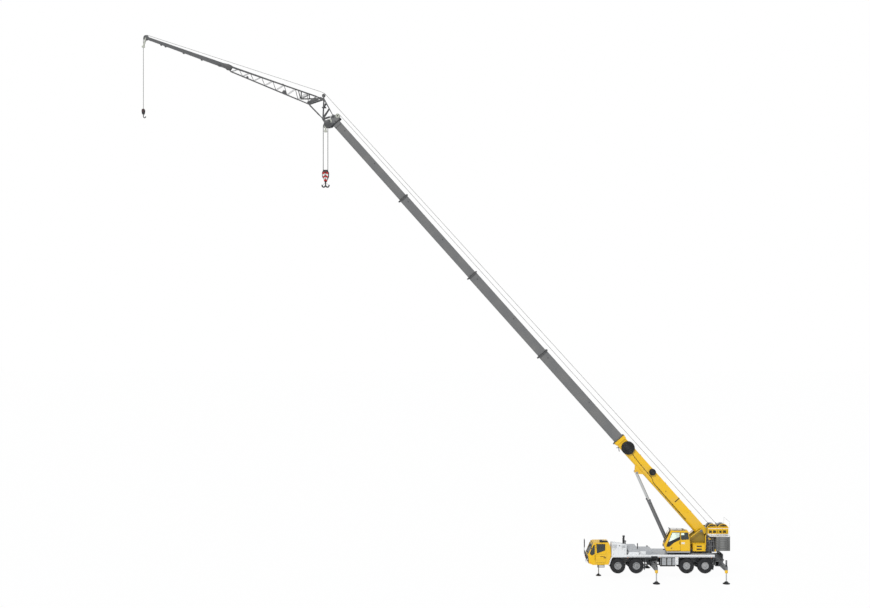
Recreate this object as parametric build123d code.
from build123d import *
import math
import os

# Four-axle all-terrain mobile crane, a scale model at half size. Millimetres.
# It stands on its four outriggers and its front jack, with the five-section boom run out and
# the lattice jib offset. Origin: on the ground, under the slewing axis. -X is the crane's
# front, -Y its left side, +Z up.

# ---------------------------------------------------------------- driving sizes
# Running gear
AXLES = [  # name, x, steered
    ("axle_1", -3065, True),
    ("axle_2", -2240, True),
    ("axle_3", 0, False),
    ("axle_4", 825, False),
]
WHEEL_Z = 587            # wheel centre above the ground, wheels lifted clear
TYRE_R = 342
TYRE_WIDTH = 190
TYRE_Y = 592             # tyre centre from the middle of the carrier
RIM_R = 160
RIM_WALL = 16
RIM_DISC = 18
HUB_R = 62
SEAT_GAP = 0.3           # between pieces that sit in or on each other
RUN_GAP = 0.5            # between sliding or turning pieces
CLEAR = 6                # between moving pieces that do not guide each other
SPINDLE_R = 30
AXLE_R = 46
DIFF_R = 76
KINGPIN_Y = 530
KNUCKLE_R = 30
KNUCKLE_H = 110
EAR_T = 24
EAR_R = 40

# Carrier
HALF_WIDTH = 687
FRAME_HALF = 240
FRAME_LOW = 660
FRAME_TOP = 975
FRAME_FRONT = -3340
FRAME_REAR = 1640
DECK_TOP = 1082
DECK_PLATE = 30
SKIRT = 18
DECK_FRONT = -2120
DECK_REAR = 1250
FRAME_WALL = 14
NOSE_HALF = 150          # the frame's nose under the driver's cab, which holds the front jack
NOSE_TOP = 780
NOSE_TUBE_R = 46
FRONT_TUBE_TOP = 1010    # the front jack's tube stands up into a console between the seats
FRONT_JACK_LOW = 610
GUARD_IN = 420
HOOD_FRONT = -3350
HOOD_REAR = -2680
HOOD_HIGH = 1622
HOOD_LOW = 1530
TROUGH_HALF = 330        # the boom and its cylinders lie between the hood's halves
TROUGH_FLOOR = 1262
LOCKER_TOP = 1300
WALK_TOP = 1225
WALK_END = -1475         # behind it the slewing frame sweeps over the deck
STACK_X = -2770
STACK_Y = -420
STACK_R = 42
STACK_TOP = 1894
ENGINE_HALF = 220
NOTCH = 145              # half the gap in the skirt for a jack that is run in
RING_R = 300
RING_BORE = 220
RING_TOP = 1100

# Outriggers: name, side (-1 left, +1 right), x of the beam's middle
OUTRIGGER_PAIRS = [("front", -1440, 1), ("rear", 1475, -1)]
BEAM_PITCH = 150
BEAM_W = 124
BEAM_H = 190
BEAM_LOW = 555
BEAM_WALL = 12
BEAM_STROKE = 925
BEAM_HOLD = 190          # length of a beam still inside the casing when it is run out
TUBE_END = 556
TUBE_WALL = 14
JACK_Y = 1550            # jack from the middle of the carrier, beam run out
JACK_HOUSING_R = 62
JACK_LOW = 475
JACK_TOP = 1020
JACK_ROD_R = 25
JACK_WALL = 13           # wall of the thin tube above the jack housing
PAD_R = 158
PAD_H = 26
FRONT_JACK_X = -3835
FRONT_ROD_R = 22
FRONT_PAD_R = 122

# Driver's cab
CAB_LEFT = -640          # the cab stands on the left, beside a low front deck
CAB_RIGHT = 140
CAB_EDGE_R = 30
CAB_WALL = 25
CAB_OUTLINE = [  # x, z round the side view, from the lower front corner over the roof
    (-4355, 690), (-4368, 900), (-4397, 1075), (-4185, 1555), (-4110, 1604), (-3462, 1612),
    (-3392, 1412), (-3365, 1028), (-3480, 645), (-3519, 630), (-4172, 617),
]
FRONT_DECK = [  # x, z round the side view of the low deck to the cab's right
    (-4355, 690), (-4368, 900), (-4385, 990), (-3320, 990), (-3320, 978), (-3350, 978),
    (-3396, 967),
    (-3490, 650), (-4172, 640),
]
CAB_FLOOR = 800
DRIVER_Y = -390
CAB_DOOR = [(-4052, 705), (-4052, 1572), (-3600, 1572), (-3590, 1028), (-3600, 705)]
CAB_DOOR_GLASS = [(-4022, 1548), (-3637, 1548), (-3637, 1275), (-3990, 1145)]
CAB_QUARTER_GLASS = [(-4098, 1510), (-4098, 1120), (-4226, 1048), (-4312, 1130), (-4140, 1510)]
CAB_HINGE_X = -4058      # door hinges: axis just outside the skin, on the front edge
CAB_HINGE_OUT = 13
CAB_HINGES = [860, 1460]
HINGE_PIN_R = 6
HINGE_R = 12
HINGE_H = 28             # height of each leaf's barrel
DOOR_GAP = 5

# Operator's cab
OP_LEFT = -660           # outer face of its fixed side
OP_RIGHT = -315
OP_WALL = 20
OP_OUTLINE = [
    (-890, 1233), (-1010, 1500), (-985, 1570), (-700, 2150), (60, 2150), (95, 2080),
    (160, 1600), (160, 1233),
]
OP_DOOR = [(-880, 1262), (-990, 1500), (-965, 1560), (-690, 2122), (-285, 2122), (-285, 1262)]
OP_DOOR_GLASS = [(-640, 2035), (-310, 2035), (-310, 1770), (-560, 1650), (-800, 1450),
                 (-862, 1465), (-900, 1530)]
OP_REAR_GLASS = [(-244, 2035), (55, 2035), (100, 1760), (-230, 1740)]
OP_DOOR_LAP = 20         # how far the door laps its opening
OP_DOOR_T = 26

# Superstructure
PIVOT = (725, 2085)      # boom foot pin, x and z
FOOT_PIN_R = 40
CHEEK_IN = 160           # side plates that carry the boom foot
CHEEK_T = 20
BASE_LOW = 1137
BASE_T = 30
BASE_HALF = 300
WINCH_IN = 255
WINCH_T = 22
WINCH_LOW = 1890
WINCH_HIGH = 2240
DRUM_Z = 2143
DRUM_PIN_R = 34
DRUMS = [  # node, x, core radius, flange radius
    ("main_winch_drum", 1240, 150, 222),
    ("jib_winch_drum", 1725, 150, 222),
]
POST_REAR = 1420         # rear face of the posts that the counterweight hangs on
BLOCK_HALF = 660
BLOCK_LOW = 1246
BLOCK_TOP = 1885
BLOCK_COUNT = 6
CYL_FOOT = (-665, 1385)  # luffing cylinder foot pin, x and z
CYL_Y = 240
BARREL_R = 63
BARREL_WALL = 10
BARREL_L = 2270
LUFF_ROD_R = 42
LUFF_ROD_L = 2250
LUFF_PIN_R = 30
EYE_R = 58
LUG_BEAM_Y = 190
LUFF_EYE = (3843, -415)  # rod eye on the boom: along the boom from the foot pin, across it

# Boom: along is measured from the foot pin towards the head, across is positive on top
BOOM_ANGLE = 48.2
BOOM_WALL = 6
SECTIONS = [  # name, half width, depth, head at, tail at (with the boom run out), collar width
    ("boom_base", 150, 500, 5488, 66, 150),
    ("boom_section_1", 134, 466, 10669, 5188, 60),
    ("boom_section_2", 118, 432, 15430, 10269, 60),
    ("boom_section_3", 102, 398, 20097, 15030, 60),
    ("boom_section_4", 86, 364, 24669, 19697, 60),
]
COLLAR_OUT = 34
SHOE_L = 60              # length of the sliding shoes
TAIL_END = 66            # closed rear end of the base section's box
HOSE_REELS = [(4935, 39, 297), (3386, 136, 147)]   # along, across, radius
HEAD_HALF = 104
HEAD_SHEAVES = [(24821, 268, 96), (24862, -435, 108), (24878, -163, 100)]
PIN_R = 20
ADAPTER_HALF = 150       # middle of the adapter's side frames
ADAPTER_EYE_T = 40
ADAPTER_TOP_FOOT = (24950, 112)
ADAPTER_LOW_FOOT = (25165, -317)

# Jib
JIB_PIVOT = (25799, 304)  # jib foot pin, along and across the boom
JIB_OFFSET = 29.14
JIB_PIN_R = 18
LATTICE_END = 4640       # where the lattice meets the box tip
UPPER_END = 41           # upper chord's height there
LOWER_START = (560, -430)
LOWER_FINISH = (4349, -180)
JIB_BAYS = 7
JIB_HALF_FOOT = 110
JIB_HALF_TIP = 56
JIB_LUG_Y = 108
CHORD_R = 15
LACE_W = 15
BOX_HALF = 60
TIP_SHEAVE_R = 125
STRUT_FOOT = (548, -430)
STRUT_END = (-238, -844)
TOP_PULLEY = (25929, 410, 82)
ADAPTER_TUBES = [  # along, across at both ends, radius
    ((24950, 112), (25799, 304), 17),
    ((25165, -317), (25799, 304), 18),
]
ADAPTER_BRACES = [  # along, across at both ends, width
    ((25165, -317), (25316, 194), 26),
    ((25510, 21), (25600, 259), 24),
    ((24950, 112), (25165, -317), 28),
]
JIB_TIP = 8499

# ---------------------------------------------------------------- helpers
os.makedirs("parts", exist_ok=True)


def save(name, *solids):
    """Write the solids of one node, as one body or as bodies that do not touch."""
    shape = solids[0] if len(solids) == 1 else Compound(children=list(solids))
    export_step(shape, f"parts/{name}.step")


def block(x0, x1, y0, y1, z0, z1):
    """A box from its opposite faces."""
    size = Box(abs(x1 - x0), abs(y1 - y0), abs(z1 - z0))
    return Pos((x0 + x1) / 2, (y0 + y1) / 2, (z0 + z1) / 2) * size


def rod(start, end, radius):
    """A round bar between two points."""
    a, b = Vector(*start), Vector(*end)
    plane = Plane(origin=a, z_dir=b - a)
    return Solid.make_cylinder(radius, (b - a).length, plane)


def bar(start, end, width):
    """A square bar between two points."""
    a, b = Vector(*start), Vector(*end)
    plane = Plane(origin=a, z_dir=b - a)
    return extrude(plane * Rectangle(width, width), (b - a).length)


def across(radius, x, z, y0, y1):
    """A round bar along Y from y0 to y1."""
    return rod((x, y0, z), (x, y1, z), radius)


def side_plane(y):
    """The plane of a side view at y, with its drawing axes along +X and +Z."""
    return Plane(origin=(0, y, 0), x_dir=(1, 0, 0), z_dir=(0, -1, 0))


def side_plate(points, y0, y1, corner=0):
    """A side-view outline (x, z) made solid from y0 to y1, with its corners rounded."""
    face = make_face(Polyline(*points, close=True))
    if corner:
        face = fillet(face.vertices(), corner)
    return extrude(side_plane(y0) * face, -(y1 - y0))


def fuse(solids):
    """Join a list of solids into one."""
    first, *rest = solids
    return first.fuse(*rest) if rest else first


def fuse_in_turn(solids):
    """Join solids one after another, for tubes that meet several at a node."""
    joined = solids[0]
    for solid in solids[1:]:
        joined = joined.fuse(solid)
    return joined


def mirrored(shape):
    """The same piece on the other side of the crane."""
    return mirror(shape, about=Plane.XZ)

# ---------------------------------------------------------------- wheels and axles
TYRE_IN = TYRE_Y - TYRE_WIDTH / 2
TYRE_OUT = TYRE_Y + TYRE_WIDTH / 2
BEAD_SIDE = 12           # the tyre is this much narrower on each side at the rim
HUB_OUT = TYRE_OUT - 30


def turned(points, x, z, side):
    """Revolve an outline of (radius, y) about a wheel's axis; side is -1 for left."""
    face = make_face(Polyline(*[(r, y) for r, y in points], close=True))
    plane = Plane(origin=(x, 0, z), x_dir=(1, 0, 0), z_dir=(0, 0, 1))
    wheel = revolve(plane * face, Axis((x, 0, z), (0, 1, 0)))
    return wheel if side > 0 else mirrored(wheel)


def tyre(x, side):
    return turned(
        [
            (RIM_R + SEAT_GAP, TYRE_IN + BEAD_SIDE),
            (TYRE_R, TYRE_IN),
            (TYRE_R, TYRE_OUT),
            (RIM_R + SEAT_GAP, TYRE_OUT - BEAD_SIDE),
        ],
        x, WHEEL_Z, side,
    )


def rim(x, side, steered):
    """Barrel, dished disc and hub; the steered rims are deeper set, with an open hub bore."""
    disc_out = TYRE_OUT - (70 if steered else 34)
    disc_in = disc_out - RIM_DISC
    lip_in, lip_out = TYRE_IN + BEAD_SIDE, TYRE_OUT - BEAD_SIDE
    bore = SPINDLE_R + SEAT_GAP
    inner = RIM_R - RIM_WALL
    hub_in = KINGPIN_Y + KNUCKLE_R + 12
    return turned(
        [
            (RIM_R, lip_in), (RIM_R, lip_out), (inner, lip_out), (inner - 10, disc_out),
            (HUB_R + 8, disc_out), (HUB_R - 8, HUB_OUT), (bore, HUB_OUT), (bore, hub_in),
            (HUB_R, hub_in), (HUB_R, disc_in), (inner, disc_in), (inner, lip_in),
        ],
        x, WHEEL_Z, side,
    )


def spindle(x, side):
    """The stub that a wheel turns on, from the knuckle or the axle's end."""
    return across(SPINDLE_R, x, WHEEL_Z, side * KINGPIN_Y, side * (HUB_OUT - 8))


def knuckle(x, side):
    """A steered wheel's knuckle: the kingpin barrel, its spindle and the steering arm."""
    y = side * KINGPIN_Y
    barrel = rod((x, y, WHEEL_Z - KNUCKLE_H / 2), (x, y, WHEEL_Z + KNUCKLE_H / 2), KNUCKLE_R)
    arm = bar((x, y, WHEEL_Z - 30), (x + 108, y, WHEEL_Z - 30), 22)
    return fuse([barrel, spindle(x, side), arm])


def axle_beam(x, steered):
    """A tube across the carrier with the differential's bulge; ears hold the kingpins."""
    half = KINGPIN_Y - KNUCKLE_R - CLEAR - 22 if steered else KINGPIN_Y + 4
    pieces = [
        across(AXLE_R, x, WHEEL_Z, -half, half),
        across(DIFF_R, x, WHEEL_Z - 10, -75, 75),
    ]
    for side in (-1, 1):
        for spring_x in (x - 70, x + 70):
            pieces.append(
                rod((spring_x, side * 195, WHEEL_Z), (spring_x, side * 195, FRAME_LOW), 26)
            )
        pieces.append(block(x - 96, x + 96, side * 195 - 26, side * 195 + 26,
                            WHEEL_Z - 20, WHEEL_Z + 20))
        if not steered:
            pieces.append(spindle(x, side))
            continue
        y = side * KINGPIN_Y
        for up in (-1, 1):
            low = WHEEL_Z + up * (KNUCKLE_H / 2 + RUN_GAP)
            ear = rod((x, y, low), (x, y, low + up * EAR_T), EAR_R)
            inner = side * (half - 10)
            web = block(x - EAR_R, x + EAR_R, inner, y, low, low + up * EAR_T)
            pieces += [ear, web]
        high = KNUCKLE_H / 2 + RUN_GAP + EAR_T
        end = side * half
        pieces.append(block(x - EAR_R, x + EAR_R, end, end - side * 20,
                            WHEEL_Z - high, WHEEL_Z + high))
    return fuse(pieces)


for name, x, steered in AXLES:
    for side, hand in ((-1, "left"), (1, "right")):
        save(f"tyre_{name[-1]}_{hand}", tyre(x, side))
        save(f"rim_{name[-1]}_{hand}", rim(x, side, steered))
        if steered:
            save(f"knuckle_{name[-1]}_{hand}", knuckle(x, side))
save("axle_beams", *[axle_beam(x, steered) for _, x, steered in AXLES])

# ---------------------------------------------------------------- outriggers
CASINGS = []             # each casing's outer block, and the casing with its two slots
for corner, beam_x, order in OUTRIGGER_PAIRS:
    half = BEAM_PITCH / 2 + BEAM_W / 2 + CLEAR + TUBE_WALL
    outer = block(beam_x - half, beam_x + half, -TUBE_END, TUBE_END,
                  BEAM_LOW - RUN_GAP - TUBE_WALL, BEAM_LOW + BEAM_H + CLEAR + TUBE_WALL)
    casing = outer
    for side, hand in ((-1, "left"), (1, "right")):
        middle = beam_x + order * side * BEAM_PITCH / 2
        casing -= block(middle - BEAM_W / 2 - CLEAR, middle + BEAM_W / 2 + CLEAR,
                        -TUBE_END - 1, TUBE_END + 1,
                        BEAM_LOW - RUN_GAP, BEAM_LOW + BEAM_H + CLEAR)
        # The beam runs from its inner end inside the casing to the jack's housing.
        beam_in = TUBE_END - BEAM_HOLD
        beam = block(middle - BEAM_W / 2, middle + BEAM_W / 2, side * beam_in,
                     side * (JACK_Y - 20), BEAM_LOW, BEAM_LOW + BEAM_H)
        core = block(middle - BEAM_W / 2 + BEAM_WALL, middle + BEAM_W / 2 - BEAM_WALL,
                     side * (beam_in - 1), side * (JACK_Y - JACK_HOUSING_R - 10),
                     BEAM_LOW + BEAM_WALL, BEAM_LOW + BEAM_H - BEAM_WALL)
        y = side * JACK_Y
        housing = rod((middle, y, JACK_LOW), (middle, y, BEAM_LOW + BEAM_H + 12), JACK_HOUSING_R) \
            + rod((middle, y, BEAM_LOW), (middle, y, JACK_TOP), JACK_ROD_R + JACK_WALL)
        bore = rod((middle, y, JACK_LOW - 1), (middle, y, JACK_TOP - 14),
                   JACK_ROD_R + RUN_GAP)
        save(f"outrigger_beam_{corner}_{hand}", beam - core + housing - bore)
        foot = Pos(middle, y, 0) * Cylinder(
            PAD_R, PAD_H, align=(Align.CENTER, Align.CENTER, Align.MIN))
        skirt = Pos(middle, y, PAD_H) * Cone(
            PAD_R * 0.85, JACK_ROD_R + 8, 95, align=(Align.CENTER, Align.CENTER, Align.MIN))
        leg = rod((middle, y, PAD_H), (middle, y, JACK_LOW + 180), JACK_ROD_R)
        save(f"jack_{corner}_{hand}", fuse([foot, skirt, leg]))
    CASINGS.append((outer, casing))

front_foot = Pos(FRONT_JACK_X, 0, 0) * Cylinder(
    FRONT_PAD_R, 20, align=(Align.CENTER, Align.CENTER, Align.MIN))
front_skirt = Pos(FRONT_JACK_X, 0, 20) * Cone(
    FRONT_PAD_R * 0.66, FRONT_ROD_R + 5, 62, align=(Align.CENTER, Align.CENTER, Align.MIN))
front_leg = rod((FRONT_JACK_X, 0, 20), (FRONT_JACK_X, 0, FRONT_JACK_LOW + 120), FRONT_ROD_R)
save("front_jack", fuse([front_foot, front_skirt, front_leg]))

# ---------------------------------------------------------------- chassis
rails = block(FRAME_FRONT, FRAME_REAR, -FRAME_HALF, FRAME_HALF, FRAME_LOW, FRAME_TOP)
rails -= block(FRAME_FRONT + FRAME_WALL, FRAME_REAR + 1, -FRAME_HALF + FRAME_WALL,
               FRAME_HALF - FRAME_WALL, FRAME_LOW + FRAME_WALL, FRAME_TOP - FRAME_WALL)
for outer, casing in CASINGS:
    rails = rails - outer + casing
nose = block(FRONT_JACK_X - 60, FRAME_FRONT + 10, -NOSE_HALF, NOSE_HALF, FRAME_LOW, NOSE_TOP)
jack_tube = rod((FRONT_JACK_X, 0, FRONT_JACK_LOW), (FRONT_JACK_X, 0, FRONT_TUBE_TOP), NOSE_TUBE_R)
jack_bore = rod((FRONT_JACK_X, 0, FRONT_JACK_LOW - 1), (FRONT_JACK_X, 0, FRONT_TUBE_TOP - 12),
                FRONT_ROD_R + RUN_GAP)
pedestal = rod((0, 0, FRAME_TOP - 20), (0, 0, RING_TOP), RING_R) \
    - rod((0, 0, FRAME_TOP - 21), (0, 0, RING_TOP + 1), RING_BORE)
tail_plate = block(FRAME_REAR, FRAME_REAR + 18, -TUBE_END, TUBE_END, 700, DECK_TOP)
chassis = [rails, nose, jack_tube, pedestal, tail_plate]
for side in (-1, 1):
    near, far = side * GUARD_IN, side * HALF_WIDTH
    # Sloping guard ahead of the first wheel, and the flaps behind each pair of wheels.
    chassis.append(side_plate(
        [(-3480, 622), (-3366, 960), (-3348, 960), (-3462, 622)],
        min(near, far), max(near, far)))
    chassis.append(block(-3366, -3348, side * (FRAME_HALF - 60), far, 930, 960))
    chassis.append(block(-3366, FRAME_FRONT + 1, side * (FRAME_HALF - 60), side * FRAME_HALF, 930, 960))
    for flap_x in (-1850, 1205):
        chassis.append(side_plate(
            [(flap_x - 30, 400), (flap_x, 560), (flap_x, 950), (flap_x + 10, 950),
             (flap_x + 10, 558), (flap_x - 20, 400)],
            min(near, far), max(near, far)))
        chassis.append(block(flap_x, flap_x + 10, side * (FRAME_HALF - 5), far, 900, 950))
save("chassis_frame", fuse(chassis) - jack_bore)

# ---------------------------------------------------------------- deck, hood and stack
deck = block(DECK_FRONT, DECK_REAR, -HALF_WIDTH, HALF_WIDTH, DECK_TOP - DECK_PLATE, DECK_TOP)
deck -= rod((0, 0, DECK_TOP - DECK_PLATE - 1), (0, 0, DECK_TOP + 1), RING_R + SEAT_GAP)
deck_parts = [deck]
for side in (-1, 1):
    skirt = block(HOOD_REAR, DECK_REAR, side * HALF_WIDTH, side * (HALF_WIDTH - SKIRT),
                  FRAME_TOP, DECK_TOP - 1)
    for _, beam_x, _ in OUTRIGGER_PAIRS:
        skirt -= block(beam_x - NOTCH, beam_x + NOTCH, side * (HALF_WIDTH + 1),
                       side * (HALF_WIDTH - SKIRT - 1), FRAME_TOP - 1, JACK_TOP + CLEAR)
    deck_parts.append(skirt)
    for x0, x1 in ((DECK_FRONT, -RING_R - 20), (RING_R + 20, DECK_REAR)):
        deck_parts.append(block(x0, x1, side * 180, side * (FRAME_HALF - 10),
                                FRAME_TOP, DECK_TOP - 1))
    # The engine hood is tall on the left, beside the boom's trough, and low on the right.
    front_top, rear_top = (HOOD_HIGH, HOOD_LOW) if side < 0 else (LOCKER_TOP, LOCKER_TOP)
    deck_parts.append(side_plate(
        [(HOOD_FRONT, FRAME_TOP), (HOOD_FRONT, front_top), (HOOD_REAR, rear_top),
         (HOOD_REAR, FRAME_TOP)],
        min(side * TROUGH_HALF, side * HALF_WIDTH), max(side * TROUGH_HALF, side * HALF_WIDTH)))
    deck_parts.append(block(-510, -372, side * 480, side * HALF_WIDTH, 640, FRAME_TOP))
    deck_parts.append(block(-500, -382, side * 490, side * (HALF_WIDTH - 10),
                            FRAME_TOP - 1, DECK_TOP - 1))
deck_parts += [
    side_plate(FRONT_DECK, NOSE_HALF + 10, HALF_WIDTH),
    block(HOOD_FRONT, HOOD_REAR, -TROUGH_HALF - 1, TROUGH_HALF + 1,
          TROUGH_FLOOR - 20, TROUGH_FLOOR),
    block(HOOD_REAR - 20, HOOD_REAR, -TROUGH_HALF - 1, TROUGH_HALF + 1,
          FRAME_TOP, TROUGH_FLOOR - 10),
    block(HOOD_REAR - 1, DECK_FRONT + 1, -HALF_WIDTH + 60, HALF_WIDTH - 60, FRAME_TOP, LOCKER_TOP),
    block(HOOD_REAR - 1, DECK_FRONT + 1, -HALF_WIDTH, HALF_WIDTH, DECK_TOP - DECK_PLATE, DECK_TOP),
    block(DECK_FRONT, WALK_END, -430, 430, DECK_TOP - 1, WALK_TOP),
    block(WALK_END - 1, -1240, -430, 430, DECK_TOP - 1, BASE_LOW - 17),
    rod((-2153, -430, LOCKER_TOP - 5), (-2153, -430, 1550), 22),
    rod((STACK_X, STACK_Y, HOOD_LOW), (STACK_X, STACK_Y, STACK_TOP), STACK_R),
    rod((STACK_X, STACK_Y, STACK_TOP - 70), (STACK_X, STACK_Y, STACK_TOP), STACK_R + 12),
]
save("carrier_deck", fuse(deck_parts))

engine = block(-3200, -2710, -ENGINE_HALF, ENGINE_HALF, FRAME_TOP + SEAT_GAP, TROUGH_FLOOR - 40)
save("engine_block", engine)

tanks = []
for side in (-1, 1):
    tank = block(-1170, -520, side * (FRAME_HALF + SEAT_GAP), side * (HALF_WIDTH - 7), 585, 968)
    long_edges = tank.edges().filter_by(Axis.X)
    tanks.append(fillet(long_edges, 60))
save("side_tanks", *tanks)

# ---------------------------------------------------------------- the two cabs
def outline_face(points, inset=0):
    face = make_face(Polyline(*points, close=True))
    return offset(face, amount=-inset, kind=Kind.INTERSECTION) if inset else face


def slab(points, y0, y1, inset=0):
    """A side-view outline made solid between two widths, drawn in by an inset."""
    low, high = min(y0, y1), max(y0, y1)
    return extrude(side_plane(low) * outline_face(points, inset), -(high - low))


def window_in_front(low, high, y0, y1, margin, depth):
    """The block that cuts a window through a sloping front, from its low to its high edge."""
    a, b = Vector(low[0], 0, low[1]), Vector(high[0], 0, high[1])
    run = (b - a).normalized()
    out = Vector(-run.Z, 0, run.X)
    a, b = a + run * margin, b - run * margin
    corners = [a + out * depth, b + out * depth, b - out * depth, a - out * depth]
    return side_plate([(c.X, c.Z) for c in corners], y0, y1)


CAB_SCREEN = (CAB_OUTLINE[2], CAB_OUTLINE[3])
CAB_BELT = CAB_OUTLINE[2][1]
cab = slab(CAB_OUTLINE, CAB_LEFT, CAB_RIGHT)
front_edges = [e for e in cab.edges() if CAB_BELT <= e.center().Z and e.center().X < -3700
               and abs(e.center().Y - (CAB_LEFT + CAB_RIGHT) / 2) > 300]
cab = fillet(front_edges, CAB_EDGE_R)
room = slab(CAB_OUTLINE, CAB_LEFT + CAB_WALL, CAB_RIGHT - CAB_WALL, CAB_WALL)
below_floor = block(-4700, -3300, CAB_LEFT, CAB_RIGHT, 500, CAB_FLOOR)
tunnel = block(FRONT_JACK_X - 60 - CLEAR, -3300, -NOSE_HALF - CLEAR, NOSE_HALF + CLEAR,
               500, NOSE_TOP + SEAT_GAP)
console = block(FRONT_JACK_X - 75, FRONT_JACK_X + 75, -75, 75, CAB_FLOOR - 1, FRONT_TUBE_TOP + 20)
well = rod((FRONT_JACK_X, 0, NOSE_TOP), (FRONT_JACK_X, 0, FRONT_TUBE_TOP + SEAT_GAP),
           NOSE_TUBE_R + SEAT_GAP)
cab = cab - (room - below_floor) + console - tunnel - well
cab -= window_in_front(*CAB_SCREEN, CAB_LEFT + 60, CAB_RIGHT - 60, 45, 40)
cab -= block(-3500, -3300, CAB_LEFT + 120, CAB_RIGHT - 120, 1250, 1500)
for skin in (CAB_LEFT, CAB_RIGHT):
    side = math.copysign(1, skin)
    low, high = sorted((skin - side * (CAB_WALL + 1), skin + side))
    cab -= slab(CAB_QUARTER_GLASS, low, high)
    cab -= slab(CAB_DOOR, low, high, -DOOR_GAP) if side < 0 else slab(CAB_DOOR_GLASS, low, high)
door = slab(CAB_DOOR, CAB_LEFT, CAB_LEFT + CAB_WALL)
door -= slab(CAB_DOOR_GLASS, CAB_LEFT - 1, CAB_LEFT + CAB_WALL + 1)
hinge_y = CAB_LEFT - CAB_HINGE_OUT
for hinge_z in CAB_HINGES:
    # The cab's leaf and pin below, the door's leaf on the pin above it.
    mid = hinge_z + SEAT_GAP
    top = mid + HINGE_H
    cab = cab.fuse(
        rod((CAB_HINGE_X, hinge_y, hinge_z - HINGE_H), (CAB_HINGE_X, hinge_y, hinge_z), HINGE_R),
        rod((CAB_HINGE_X, hinge_y, hinge_z - 1), (CAB_HINGE_X, hinge_y, top), HINGE_PIN_R),
        block(CAB_HINGE_X - 46, CAB_HINGE_X, CAB_LEFT + 2, hinge_y - 4, hinge_z - HINGE_H, hinge_z),
    )
    leaf = fuse([
        rod((CAB_HINGE_X, hinge_y, mid), (CAB_HINGE_X, hinge_y, top), HINGE_R),
        block(CAB_HINGE_X, CAB_HINGE_X + 50, CAB_LEFT + 2, hinge_y - 4, mid, top),
    ])
    cab -= rod((CAB_HINGE_X, hinge_y, mid), (CAB_HINGE_X, hinge_y, top + 3), HINGE_R + 4) \
        - rod((CAB_HINGE_X, hinge_y, mid - 1), (CAB_HINGE_X, hinge_y, top + 4), HINGE_PIN_R)
    door = door.fuse(leaf) - rod((CAB_HINGE_X, hinge_y, mid - 2), (CAB_HINGE_X, hinge_y, top + 2),
                                 HINGE_PIN_R + 0.1)
save("cab_door", door)
save("carrier_cab", cab)

pane = window_in_front(*CAB_SCREEN, CAB_LEFT + 60 + SEAT_GAP, CAB_RIGHT - 60 - SEAT_GAP,
                       45 + SEAT_GAP, 4)
run = Vector(CAB_SCREEN[1][0] - CAB_SCREEN[0][0], 0, CAB_SCREEN[1][1] - CAB_SCREEN[0][1])
inward = Vector(run.Z, 0, -run.X).normalized() * 12
panes = [
    Pos(*inward) * pane,
    slab(CAB_QUARTER_GLASS, CAB_LEFT + 8, CAB_LEFT + 16, SEAT_GAP),
    slab(CAB_QUARTER_GLASS, CAB_RIGHT - 16, CAB_RIGHT - 8, SEAT_GAP),
    slab(CAB_DOOR_GLASS, CAB_RIGHT - 16, CAB_RIGHT - 8, SEAT_GAP),
]
save("carrier_cab_glass", *panes)


def seat(x, y, floor, width, scale=1.0):
    """A sprung seat: pedestal, cushion and back, facing -X."""
    return fuse([
        block(x - 90 * scale, x + 90 * scale, y - 70 * scale, y + 70 * scale,
              floor, floor + 150 * scale),
        block(x - 130 * scale, x + 130 * scale, y - width / 2, y + width / 2,
              floor + 149 * scale, floor + 215 * scale),
        side_plate([(x + 95 * scale, floor + 200 * scale), (x + 150 * scale, floor + 200 * scale),
                    (x + 215 * scale, floor + 560 * scale), (x + 160 * scale, floor + 560 * scale)],
                   y - width / 2, y + width / 2),
    ])


cab_seat = seat(-3760, DRIVER_Y, CAB_FLOOR + SEAT_GAP, 250)
dash = fuse([
    block(-4325, -4150, CAB_LEFT + 60, CAB_RIGHT - 60, CAB_FLOOR + SEAT_GAP, 1040),
    rod((-4185, DRIVER_Y, 1025), (-4060, DRIVER_Y, 1110), 14),
    rod((-4065, DRIVER_Y, 1106), (-4050, DRIVER_Y, 1116.4), 105),
])
save("carrier_cab_interior", cab_seat, dash)

op_cab = slab(OP_OUTLINE, OP_LEFT, OP_RIGHT)
op_room = slab(OP_OUTLINE, OP_LEFT + OP_WALL, OP_RIGHT - OP_WALL, OP_WALL)
op_cab -= op_room
OP_SCREEN = (OP_OUTLINE[2], OP_OUTLINE[3])
op_cab -= window_in_front(*OP_SCREEN, OP_LEFT + 40, OP_RIGHT - 40, 25, 30)
op_cab -= block(-600, -40, OP_LEFT + 60, OP_RIGHT - 60, 2120, 2160)
op_cab -= slab(OP_DOOR, OP_LEFT - 1, OP_LEFT + OP_WALL + 1, OP_DOOR_LAP)
op_cab -= slab(OP_REAR_GLASS, OP_LEFT - 1, OP_LEFT + OP_WALL + 1)
op_cab -= slab(OP_DOOR_GLASS, OP_RIGHT - OP_WALL - 1, OP_RIGHT + 1)
op_cab -= block(100, 180, OP_LEFT + 60, OP_RIGHT - 60, 1650, 2000)
save("operator_cab", op_cab)

op_door = slab(OP_DOOR, OP_LEFT - RUN_GAP - OP_DOOR_T, OP_LEFT - RUN_GAP)
op_door -= slab(OP_DOOR_GLASS, OP_LEFT - 60, OP_LEFT)
save("operator_cab_door", op_door)

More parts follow.
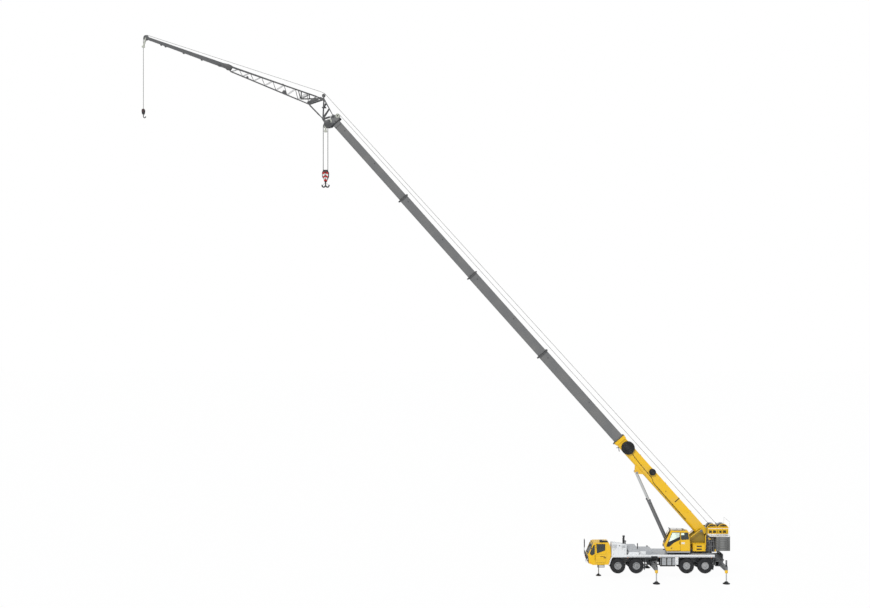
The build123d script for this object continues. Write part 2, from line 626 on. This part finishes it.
op_pane = window_in_front(*OP_SCREEN, OP_LEFT + 40 + SEAT_GAP, OP_RIGHT - 40 - SEAT_GAP,
                          25 + SEAT_GAP, 4)
run = Vector(OP_SCREEN[1][0] - OP_SCREEN[0][0], 0, OP_SCREEN[1][1] - OP_SCREEN[0][1])
inward = Vector(run.Z, 0, -run.X).normalized() * 10
save(
    "operator_cab_glass",
    Pos(*inward) * op_pane,
    slab(OP_REAR_GLASS, OP_LEFT + 6, OP_LEFT + 14, SEAT_GAP),
    slab(OP_DOOR_GLASS, OP_RIGHT - 14, OP_RIGHT - 6, SEAT_GAP),
    block(-600 + SEAT_GAP, -40 - SEAT_GAP, OP_LEFT + 60 + SEAT_GAP, OP_RIGHT - 60 - SEAT_GAP,
          2134, 2142),
)

op_floor = OP_OUTLINE[0][1] + OP_WALL + SEAT_GAP
op_middle = (OP_LEFT + OP_RIGHT) / 2
console = fuse([
    block(-860, -780, op_middle - 60, op_middle + 60, op_floor, 1440),
    block(-875, -830, op_middle - 110, op_middle + 40, 1430, 1560),
])
save("operator_cab_interior", seat(-330, op_middle, op_floor, 230, 1.1), console)

# ---------------------------------------------------------------- superstructure
pivot_x, pivot_z = PIVOT
foot_x, foot_z = CYL_FOOT
cheek_outline = [
    (-150, BASE_LOW + 5), (-150, 1420), (150, 1660), (250, 1805), (690, 2150), (760, 2165),
    (815, 2120), (880, 1900), (950, 1700), (950, BASE_LOW + 5),
]
base = block(-760, 1320, -BASE_HALF, BASE_HALF, BASE_LOW, BASE_LOW + BASE_T)
ring = rod((0, 0, RING_TOP + RUN_GAP), (0, 0, BASE_LOW + 1), RING_R - 12)
super_parts = [base, ring]
for side in (-1, 1):
    low, high = sorted((side * CHEEK_IN, side * (CHEEK_IN + CHEEK_T)))
    super_parts.append(side_plate(cheek_outline, low, high))
    super_parts.append(across(FOOT_PIN_R + 34, pivot_x, pivot_z,
                              side * (SECTIONS[0][1] + RUN_GAP), side * (CHEEK_IN + CHEEK_T + 12)))
    # Machinery box beside the boom foot, and the frame that carries the winches.
    super_parts.append(block(325, 875, side * (CHEEK_IN + CHEEK_T - 1), side * 500, 1205, 1535))
    super_parts.append(block(950, POST_REAR, side * (CHEEK_IN + 6), side * BASE_HALF,
                             BASE_LOW + 5, WINCH_LOW + 5))
    rail = block(950, 1966, side * WINCH_IN, side * (WINCH_IN + WINCH_T), WINCH_LOW, WINCH_HIGH)
    for window_x0, window_x1 in ((1085, 1395), (1570, 1880)):
        rail -= block(window_x0, window_x1, side * (WINCH_IN - 1), side * (WINCH_IN + WINCH_T + 1),
                      WINCH_LOW + 55, WINCH_LOW + 130)
    super_parts.append(rail)
super_parts += [
    across(FOOT_PIN_R, pivot_x, pivot_z, -CHEEK_IN - CHEEK_T - 16, CHEEK_IN + CHEEK_T + 16),
    # Nose with the cross pin that the luffing cylinders stand on.
    side_plate([(-760, BASE_LOW + 5), (-760, 1330), (-710, 1440), (-620, 1440), (-150, 1420),
                (-150, BASE_LOW + 5)], -150, 150),
    across(LUFF_PIN_R, foot_x, foot_z, -CYL_Y - 52, CYL_Y + 52),
    side_plate([(-150, BASE_LOW + 5), (-150, 1300), (300, 1300), (300, BASE_LOW + 5)],
               -CHEEK_IN - 1, CHEEK_IN + 1),
    block(880, 950, -CHEEK_IN - 1, CHEEK_IN + 1, BASE_LOW + 5, 1700),
    block(1040, 1966, -WINCH_IN - 1, WINCH_IN + 1, WINCH_LOW, WINCH_LOW + 20),
    # Arms out to the operator's cab.
    block(-880, 160, OP_LEFT, -BASE_HALF + 1, BASE_LOW + 25, OP_OUTLINE[0][1] - SEAT_GAP),
    block(-700, 160, -BASE_HALF - 1, -100, BASE_LOW + 25, OP_OUTLINE[0][1] - SEAT_GAP),
]
for name, drum_x, core_r, flange_r in DRUMS:
    super_parts.append(across(DRUM_PIN_R, drum_x, DRUM_Z, -WINCH_IN - 1, WINCH_IN + 1))
    inner = DRUM_PIN_R + SEAT_GAP
    half = WINCH_IN - CLEAR
    drum = turned([(inner, -half), (flange_r, -half), (flange_r, -half + 14),
                   (core_r, -half + 14), (core_r, half - 14), (flange_r, half - 14),
                   (flange_r, half), (inner, half)], drum_x, DRUM_Z, 1)
    save(name, drum)
save("superstructure_frame", fuse(super_parts))

# Stacked slabs with a shadow gap between them, hung on the rear of the base.
weight_parts = [block(1400, 1900, -BLOCK_HALF + 40, BLOCK_HALF - 40, 1250, 1880)]
slab_h = (BLOCK_TOP - BLOCK_LOW) / BLOCK_COUNT
for i in range(BLOCK_COUNT):
    low = BLOCK_LOW + i * slab_h + 4
    piece = block(1335, 1955, -BLOCK_HALF, BLOCK_HALF, low, low + slab_h - 8)
    weight_parts.append(fillet(piece.edges().filter_by(Axis.Z), 60))
slot_half = BASE_HALF + SEAT_GAP
slot = block(1330, POST_REAR + SEAT_GAP, -slot_half, slot_half, BLOCK_LOW - 1, BLOCK_TOP + 1)
save("counterweight", fuse(weight_parts) - slot)

# ---------------------------------------------------------------- boom
luff = math.radians(BOOM_ANGLE)
BOOM = Plane(origin=(pivot_x, 0, pivot_z), x_dir=(-math.cos(luff), 0, math.sin(luff)),
             z_dir=(math.sin(luff), 0, math.cos(luff)))
# In the boom's own frame x is along it, z is across it, up, and +y is the crane's left.


def section_solid(start, end, half, depth):
    """A boom section's outer form: flat top and sides, and a round belly."""
    high = depth / 2
    spring = -high + half
    face = make_face(
        Polyline((-half, spring), (-half, high), (half, high), (half, spring))
        + ThreePointArc((half, spring), (0, -high), (-half, spring))
    )
    plane = Plane(origin=(start, 0, 0), x_dir=(0, 1, 0), z_dir=(1, 0, 0))
    return extrude(plane * face, end - start)


def boom_section(i):
    """One box section, with its collar at the head and its sliding shoes at the tail."""
    name, half, depth, head, tail, collar = SECTIONS[i]
    solid = section_solid(tail, head, half, depth)
    if i:
        _, outer_half, outer_depth, _, _, _ = SECTIONS[i - 1]
        slack = 2 * (BOOM_WALL + RUN_GAP)
        solid = solid.fuse(section_solid(tail, tail + SHOE_L, outer_half - slack / 2,
                                         outer_depth - slack))
    if i + 1 < len(SECTIONS):
        solid = solid.fuse(section_solid(head - collar, head, half + COLLAR_OUT,
                                         depth + 2 * COLLAR_OUT))
        _, next_half, next_depth, _, _, _ = SECTIONS[i + 1]
        solid -= section_solid(tail - 1, head - SHOE_L, half - BOOM_WALL, depth - 2 * BOOM_WALL)
        solid -= section_solid(head - SHOE_L - 1, head + 1, next_half + RUN_GAP,
                               next_depth + 2 * RUN_GAP)
    else:
        solid -= section_solid(tail - 1, head - 40, half - BOOM_WALL, depth - 2 * BOOM_WALL)
    return solid


boom_base = [boom_section(0)]
eye_along, eye_across = LUFF_EYE
tail_outline = [(-270, 20), (-230, 235), (TAIL_END, 250), (TAIL_END, -250), (-40, -150),
                (-150, -120)]
boom_base.append(section_solid(TAIL_END - 30, TAIL_END, SECTIONS[0][1], SECTIONS[0][2]))
for side in (-1, 1):
    low, high = sorted((side * 124, side * SECTIONS[0][1]))
    boom_base.append(side_plate(tail_outline, low, high))
    boom_base.append(across(FOOT_PIN_R + 34, 0, 0, side * 100, side * 124.5))
    # Lug under the boom that the cross beam of the cylinders' eyes sits in.
    low, high = sorted((side * 70, side * 96))
    boom_base.append(side_plate([(eye_along - 330, -180), (eye_along - 70, eye_across - 20),
                                 (eye_along + 60, eye_across - 20), (eye_along + 300, -180)],
                                low, high))
boom_base.append(across(50, eye_along, eye_across, -LUG_BEAM_Y, LUG_BEAM_Y))
boom_base.append(block(-200, TAIL_END, -124.5, 124.5, 200, 222))
for along, across_at, radius in HOSE_REELS:
    boom_base.append(across(radius, along, across_at, 176, 232))
    boom_base.append(across(46, along, across_at, 140, 177))
base_hollow = section_solid(TAIL_END, SECTIONS[0][3] - SHOE_L, SECTIONS[0][1] - BOOM_WALL,
                            SECTIONS[0][2] - 2 * BOOM_WALL)
base_solid = fuse(boom_base) - base_hollow - across(FOOT_PIN_R + SEAT_GAP, 0, 0, -200, 200)
save("boom_base", BOOM.location * base_solid)
for i in (1, 2, 3):
    save(SECTIONS[i][0], BOOM.location * boom_section(i))

head_outline = [
    (24470, -182), (24470, 182), (24660, 182), (24700, 290), (24860, 340), (24920, 200),
    (24990, 160), (24990, 70), (24930, -60), (24960, -250), (25150, -280), (25205, -310),
    (25190, -360), (24990, -400), (24930, -520), (24850, -550), (24780, -500), (24700, -330),
    (24601, -182),
]
head = [boom_section(4)]
for side in (-1, 1):
    low, high = sorted((side * (SECTIONS[4][1] - 4), side * HEAD_HALF))
    head.append(side_plate(head_outline, low, high))
for along, across_at, radius in HEAD_SHEAVES:
    head.append(across(radius, along, across_at, -38, 38))
    head.append(across(18, along, across_at, -HEAD_HALF, HEAD_HALF))
head.append(across(PIN_R, *ADAPTER_TOP_FOOT, -ADAPTER_HALF - 24, ADAPTER_HALF + 24))
for side in (-1, 1):     # short pins here: the jib's strut comes between them
    head.append(across(PIN_R, *ADAPTER_LOW_FOOT, side * (HEAD_HALF - 16),
                       side * (ADAPTER_HALF + 24)))
head_along, head_across, _ = HEAD_SHEAVES[1]
head.append(across(PIN_R, head_along, head_across, -HEAD_HALF - 16, HEAD_HALF + 16))
save("boom_section_4", BOOM.location * fuse(head))

# ---------------------------------------------------------------- luffing cylinders
eye_at = BOOM.from_local_coords(Vector(eye_along, 0, eye_across))
foot_at = Vector(foot_x, 0, foot_z)
cyl_dir = (eye_at - foot_at).normalized()
barrels, rods = [], []
for side in (-1, 1):
    y = side * CYL_Y
    base_at = foot_at + Vector(0, y, 0)
    top_at = Vector(eye_at.X, y, eye_at.Z)

    def on_line(start, distance):
        return start + cyl_dir * distance

    barrel = rod(on_line(base_at, 0), on_line(base_at, BARREL_L), BARREL_R)
    barrel = barrel.fuse(
        across(EYE_R + 4, foot_x, foot_z, y - 42, y + 42),
        rod(on_line(base_at, BARREL_L - 60), on_line(base_at, BARREL_L), BARREL_R + 10),
    )
    barrel -= rod(on_line(base_at, 130), on_line(base_at, BARREL_L - 60), BARREL_R - BARREL_WALL)
    barrel -= rod(on_line(base_at, BARREL_L - 61), on_line(base_at, BARREL_L + 1),
                  LUFF_ROD_R + RUN_GAP)
    barrels.append(barrel - across(LUFF_PIN_R + SEAT_GAP, foot_x, foot_z, y - 80, y + 80))
    ram = rod(on_line(top_at, -LUFF_ROD_L), on_line(top_at, 0), LUFF_ROD_R)
    piston = rod(on_line(top_at, -LUFF_ROD_L), on_line(top_at, -LUFF_ROD_L + 40),
                 BARREL_R - BARREL_WALL - RUN_GAP)
    eye = across(EYE_R, eye_at.X, eye_at.Z, y - 42, y + 42)
    pin = across(24, eye_at.X, eye_at.Z, side * (LUG_BEAM_Y + RUN_GAP), side * (CYL_Y + 52))
    rods.append(ram.fuse(piston, eye, pin))
save("luff_barrels", *barrels)
save("luff_rods", *rods)

# ---------------------------------------------------------------- jib adapter
t_along, t_across = JIB_PIVOT
adapter = []
for side in (-1, 1):
    y = side * ADAPTER_HALF

    def node(along, across_at):
        return (along, y, across_at)

    for a, b, radius in ADAPTER_TUBES:
        adapter.append(rod(node(*a), node(*b), radius))
    for a, b, width in ADAPTER_BRACES:
        adapter.append(bar(node(*a), node(*b), width))
    for along, across_at in (ADAPTER_TOP_FOOT, ADAPTER_LOW_FOOT):
        adapter.append(across(PIN_R + 20, along, across_at, y - ADAPTER_EYE_T / 2,
                              y + ADAPTER_EYE_T / 2))
    adapter.append(across(JIB_PIN_R + 22, t_along, t_across, y - ADAPTER_EYE_T / 2,
                          y + ADAPTER_EYE_T / 2))
    low, high = sorted((side * 22, side * 34))
    adapter.append(side_plate(
        [(t_along - 30, t_across - 20), (t_along + 60, t_across - 10), (25960, 440),
         (25900, 440)], low, high))
adapter.append(across(JIB_PIN_R, t_along, t_across, -ADAPTER_HALF - 26, ADAPTER_HALF + 26))
pulley_along, pulley_across, pulley_r = TOP_PULLEY
adapter.append(across(pulley_r, pulley_along, pulley_across, -20, 20))
adapter.append(across(12, pulley_along, pulley_across, -34, 34))
adapter_solid = fuse_in_turn(adapter)
for along, across_at in (ADAPTER_TOP_FOOT, ADAPTER_LOW_FOOT):
    adapter_solid -= across(PIN_R + SEAT_GAP, along, across_at, -ADAPTER_HALF - 40,
                            ADAPTER_HALF + 40)
save("jib_adapter", BOOM.location * adapter_solid)

# ---------------------------------------------------------------- jib
jib_angle = math.radians(BOOM_ANGLE - JIB_OFFSET)
jib_foot = BOOM.from_local_coords(Vector(t_along, 0, t_across))
JIB = Plane(origin=jib_foot, x_dir=(-math.cos(jib_angle), 0, math.sin(jib_angle)),
            z_dir=(math.sin(jib_angle), 0, math.cos(jib_angle)))
# In the jib's frame x is along it from the foot pin, z is across it, up.


def chord_point(along, upper, side):
    """A point on one of the four chords."""
    if upper:
        share = along / LATTICE_END
        height = share * UPPER_END
    else:
        share = (along - LOWER_START[0]) / (LOWER_FINISH[0] - LOWER_START[0])
        height = LOWER_START[1] + share * (LOWER_FINISH[1] - LOWER_START[1])
    half = JIB_HALF_FOOT + (JIB_HALF_TIP - JIB_HALF_FOOT) * along / LATTICE_END
    return (along, side * half, height)


jib = []
bay = (LOWER_FINISH[0] - LOWER_START[0]) / JIB_BAYS
for side in (-1, 1):
    jib.append(rod(chord_point(0, True, side), chord_point(LATTICE_END, True, side), CHORD_R))
    jib.append(rod(chord_point(LOWER_START[0], False, side),
                   chord_point(LOWER_FINISH[0], False, side), CHORD_R))
    jib.append(rod(chord_point(LOWER_FINISH[0], False, side), (LATTICE_END, side * 50, -120), CHORD_R))
    jib.append(rod((0, side * JIB_LUG_Y, 0), chord_point(LOWER_START[0], False, side), CHORD_R + 6))
    low, high = sorted((side * (JIB_LUG_Y - 15), side * (JIB_LUG_Y + 15)))
    jib.append(side_plate([(-26, -30), (-26, 30), (180, 34), (180, -60)], low, high, 12))
    for k in range(JIB_BAYS):
        foot_along = LOWER_START[0] + k * bay
        top_along = foot_along + bay / 2
        low_here = chord_point(foot_along, False, side)
        low_next = chord_point(foot_along + bay, False, side)
        top_here = chord_point(top_along, True, side)
        jib.append(bar(low_here, top_here, LACE_W))
        jib.append(bar(top_here, low_next, LACE_W))
for k in range(JIB_BAYS + 1):
    foot_along = LOWER_START[0] + k * bay
    jib.append(bar(chord_point(foot_along, False, -1), chord_point(foot_along, False, 1), LACE_W))
    if k < JIB_BAYS:
        top_along = foot_along + bay / 2
        jib.append(bar(chord_point(top_along, True, -1), chord_point(top_along, True, 1), LACE_W))
        jib.append(bar(chord_point(foot_along, False, -1),
                       chord_point(foot_along + bay, False, 1), LACE_W))
box_outline = [(LATTICE_END - 90, -140), (LATTICE_END - 90, 60), (JIB_TIP - 90, 62),
               (JIB_TIP - 90, -60)]
tip_box = side_plate(box_outline, -BOX_HALF, BOX_HALF)
tip_core = slab(box_outline, -BOX_HALF + 6, BOX_HALF - 6, 6)
jib.append(tip_box - tip_core - block(LATTICE_END - 100, LATTICE_END - 80, -40, 40, -120, 40))
for side in (-1, 1):
    low, high = sorted((side * 30, side * 44))
    jib.append(side_plate([(JIB_TIP - 240, -70), (JIB_TIP - 240, 70), (JIB_TIP + 40, 40),
                           (JIB_TIP + 40, -40)], low, high))
jib.append(across(TIP_SHEAVE_R, JIB_TIP, 0, -26, 26))
jib.append(across(PIN_R, JIB_TIP, 0, -60, 60))
# The strut that sets the offset; it is free at the adapter.
jib.append(rod((STRUT_FOOT[0], 0, STRUT_FOOT[1]), (STRUT_END[0], 0, STRUT_END[1]), 22))
jib.append(across(26, *STRUT_FOOT, -JIB_HALF_FOOT, JIB_HALF_FOOT))
jib.append(across(34, *STRUT_END, -16, 16))
jib_solid = fuse(jib) - across(JIB_PIN_R + SEAT_GAP, 0, 0, -200, 200)
save("jib", JIB.location * jib_solid)

# ---------------------------------------------------------------- hooks


def limit_weight(x, z, weight_x, weight_z, inner_y, half):
    """Two links from the sheave's pin down to the switch weight."""
    pieces = [block(weight_x - 62, weight_x + 62, -inner_y - 8, inner_y + 8,
                    weight_z - 36, weight_z + 36)]
    for side in (-1, 1):
        low, high = sorted((side * inner_y, side * (inner_y + 8)))
        link = side_plate([(x - 30, z + 26), (x + 30, z + 26), (weight_x + 26, weight_z),
                           (weight_x - 26, weight_z)], low, high)
        pieces.append(link)
    return fuse(pieces) - across(PIN_R + SEAT_GAP, x, z, -inner_y - 20, inner_y + 20)


def horn(x, z, reach, thick, turn, hand):
    """One curl of a hook, from under the shank out to its tip; hand is its side in x."""
    start = x + hand * thick * 0.5
    disc = Plane(origin=(start, 0, z)) * Circle(thick)
    return revolve(disc, Axis((x + hand * reach, 0, z), (0, -hand, 0)), turn)


def hook_block(x, top, low, half_w, half_t, hook_low, double):
    """Sheave block of side plates with rounded ends, with the hook hanging under it."""
    middle = (top + low) / 2
    outline = [(x - half_w * 0.62, top), (x + half_w * 0.62, top), (x + half_w, middle + half_w),
               (x + half_w, middle - half_w * 0.2), (x + 44, low), (x - 44, low),
               (x - half_w, middle - half_w * 0.2), (x - half_w, middle + half_w)]
    pieces = []
    for side in (-1, 1):
        near, far = sorted((side * (half_t - 22), side * half_t))
        pieces.append(side_plate(outline, near, far))
    pieces.append(across(half_w * 0.8, x, middle + half_w * 0.5, -half_t + 30, half_t - 30))
    pieces.append(across(20, x, middle + half_w * 0.5, -half_t, half_t))
    pieces.append(block(x - 44, x + 44, -half_t + 10, half_t - 10, low, low + 60))
    reach = (low - hook_low) * 0.30
    thick = reach * 0.36
    throat = hook_low + thick + reach
    pieces.append(rod((x, 0, low + 5), (x, 0, throat - 1), thick))
    for hand in ((-1, 1) if double else (1,)):
        pieces.append(horn(x, throat, reach, thick, 205, hand))
    return fuse(pieces)


head_pin = BOOM.from_local_coords(Vector(head_along, 0, head_across))
tip_pin = JIB.from_local_coords(Vector(JIB_TIP, 0, 0))
save("main_limit_weight", limit_weight(head_pin.X, head_pin.Z, head_pin.X, head_pin.Z - 255,
                                       HEAD_HALF + RUN_GAP, 60))
save("jib_limit_weight", limit_weight(tip_pin.X, tip_pin.Z, tip_pin.X - TIP_SHEAVE_R,
                                      tip_pin.Z - 400, 44 + RUN_GAP, 40))
save("main_hook", hook_block(head_pin.X, 18326, 17790, 152, 92, 17505, True))
save("jib_hook", hook_block(tip_pin.X - TIP_SHEAVE_R, 21083, 20838, 68, 60, 20654, False))
